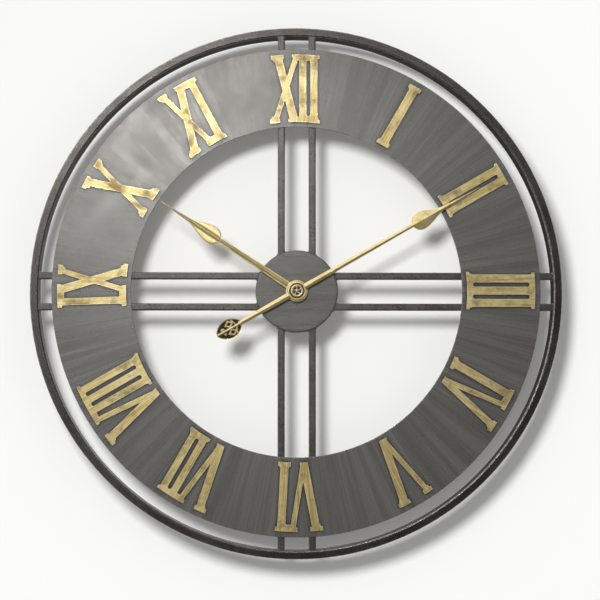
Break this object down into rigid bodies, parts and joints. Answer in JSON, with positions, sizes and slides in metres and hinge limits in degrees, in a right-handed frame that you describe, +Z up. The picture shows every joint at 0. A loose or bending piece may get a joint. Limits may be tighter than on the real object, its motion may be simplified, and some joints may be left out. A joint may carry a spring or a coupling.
{
  "type": "skeleton wall clock",
  "caption": "Round skeleton wall clock: gunmetal rim and spokes, flat dial ring with gilt Roman numerals, leaf hands, and a battery quartz movement behind the centre disc.",
  "frame": {"origin": "where the hanging nail bears, at the top of the keyhole slot, in the plane of the wall", "axes": "+X to the right and +Z up seen from the front, +Y into the wall, so the dial faces -Y"},
  "size_m": [0.6, 0.0371, 0.6],
  "materials": {
    "rim": "satin gunmetal, worn at the edges",
    "spoke": "satin gunmetal",
    "dial": "dark, brushed across its width, clear coated",
    "cup": "dark, fine horizontal grain",
    "gold_numeral": "antique gold, rubbed pale in patches, dark at the edges",
    "gold_hand": "gilded, antiqued dark in its hollows",
    "brass": "polished",
    "zinc": "zinc plated",
    "black_plastic": "moulded, fine texture",
    "white_plastic": "moulded acetal",
    "rubber": "matte",
    "board": "solder mask over glass fibre",
    "copper": "enamelled winding wire",
    "jacket": "printed cell jacket, no lettering"
  },
  "bodies": {
    "frame": {"rim": "rim", "spoke_top_a": "spoke", "spoke_top_b": "spoke", "spoke_right_a": "spoke", "spoke_right_b": "spoke", "spoke_bottom_a": "spoke", "spoke_bottom_b": "spoke", "spoke_left_a": "spoke", "spoke_left_b": "spoke", "dial_ring": "dial", "centre_cup": "cup", "numeral_1": "gold_numeral", "numeral_2": "gold_numeral", "numeral_3": "gold_numeral", "numeral_4": "gold_numeral", "numeral_5": "gold_numeral", "numeral_6": "gold_numeral", "numeral_7": "gold_numeral", "numeral_8": "gold_numeral", "numeral_9": "gold_numeral", "numeral_10": "gold_numeral", "numeral_11": "gold_numeral", "numeral_12": "gold_numeral", "mounting_washer": "brass", "mounting_nut": "brass", "shaft_bushing": "brass", "hanger_bracket": "zinc", "coil_core": "zinc", "stator": "zinc", "quartz_crystal": "zinc", "battery_contact_plus": "zinc", "battery_contact_minus": "zinc", "movement_case": "black_plastic", "movement_cover": "black_plastic", "coil_bobbin": "black_plastic", "train_bridge": "white_plastic", "case_gasket": "rubber", "circuit_board": "board", "coil_winding": "copper", "battery": "jacket"},
    "minute": {"minute_hand": "gold_hand", "minute_hand_collet": "brass", "hand_nut": "brass", "centre_wheel": "white_plastic"},
    "hour": {"hour_hand": "gold_hand", "hour_hand_collet": "brass", "hour_wheel": "white_plastic"},
    "motion": {"motion_wheel": "white_plastic"},
    "knob": {"setting_knob": "black_plastic"},
    "third": {"third_wheel": "white_plastic"},
    "seconds": {"seconds_wheel": "white_plastic"},
    "fifth": {"fifth_wheel": "white_plastic"},
    "rotor": {"rotor": "white_plastic"}
  },
  "joints": [
    {"name": "minute_turn", "type": "hinge", "parent": "frame", "child": "minute", "pos_m": [0, -0.02, -0.246], "axis": [0, 1, 0], "continuous": true},
    {"name": "hour_turn", "type": "hinge", "parent": "frame", "child": "hour", "pos_m": [0, -0.02, -0.246], "axis": [0, 1, 0], "continuous": true},
    {"name": "motion_turn", "type": "hinge", "parent": "frame", "child": "motion", "pos_m": [-0.00945, -0.02, -0.24767], "axis": [0, 1, 0], "continuous": true},
    {"name": "knob_turn", "type": "hinge", "parent": "frame", "child": "knob", "pos_m": [-0.01902, -0.02, -0.24683], "axis": [0, 1, 0], "continuous": true},
    {"name": "third_turn", "type": "hinge", "parent": "frame", "child": "third", "pos_m": [-0.00764, -0.02, -0.23836], "axis": [0, 1, 0], "continuous": true},
    {"name": "seconds_turn", "type": "hinge", "parent": "frame", "child": "seconds", "pos_m": [0, -0.02, -0.246], "axis": [0, 1, 0], "continuous": true},
    {"name": "fifth_turn", "type": "hinge", "parent": "frame", "child": "fifth", "pos_m": [0.01015, -0.02, -0.24231], "axis": [0, 1, 0], "continuous": true},
    {"name": "rotor_turn", "type": "hinge", "parent": "frame", "child": "rotor", "pos_m": [0.01201, -0.02, -0.23535], "axis": [0, 1, 0], "continuous": true}
  ],
  "couplings": [
    {"joint": "hour_turn", "follows": "minute_turn", "ratio": 0.083333},
    {"joint": "motion_turn", "follows": "minute_turn", "ratio": -0.33333},
    {"joint": "knob_turn", "follows": "minute_turn", "ratio": 1},
    {"joint": "third_turn", "follows": "minute_turn", "ratio": -8},
    {"joint": "seconds_turn", "follows": "minute_turn", "ratio": 60},
    {"joint": "fifth_turn", "follows": "minute_turn", "ratio": -360},
    {"joint": "rotor_turn", "follows": "minute_turn", "ratio": 1800}
  ]
}
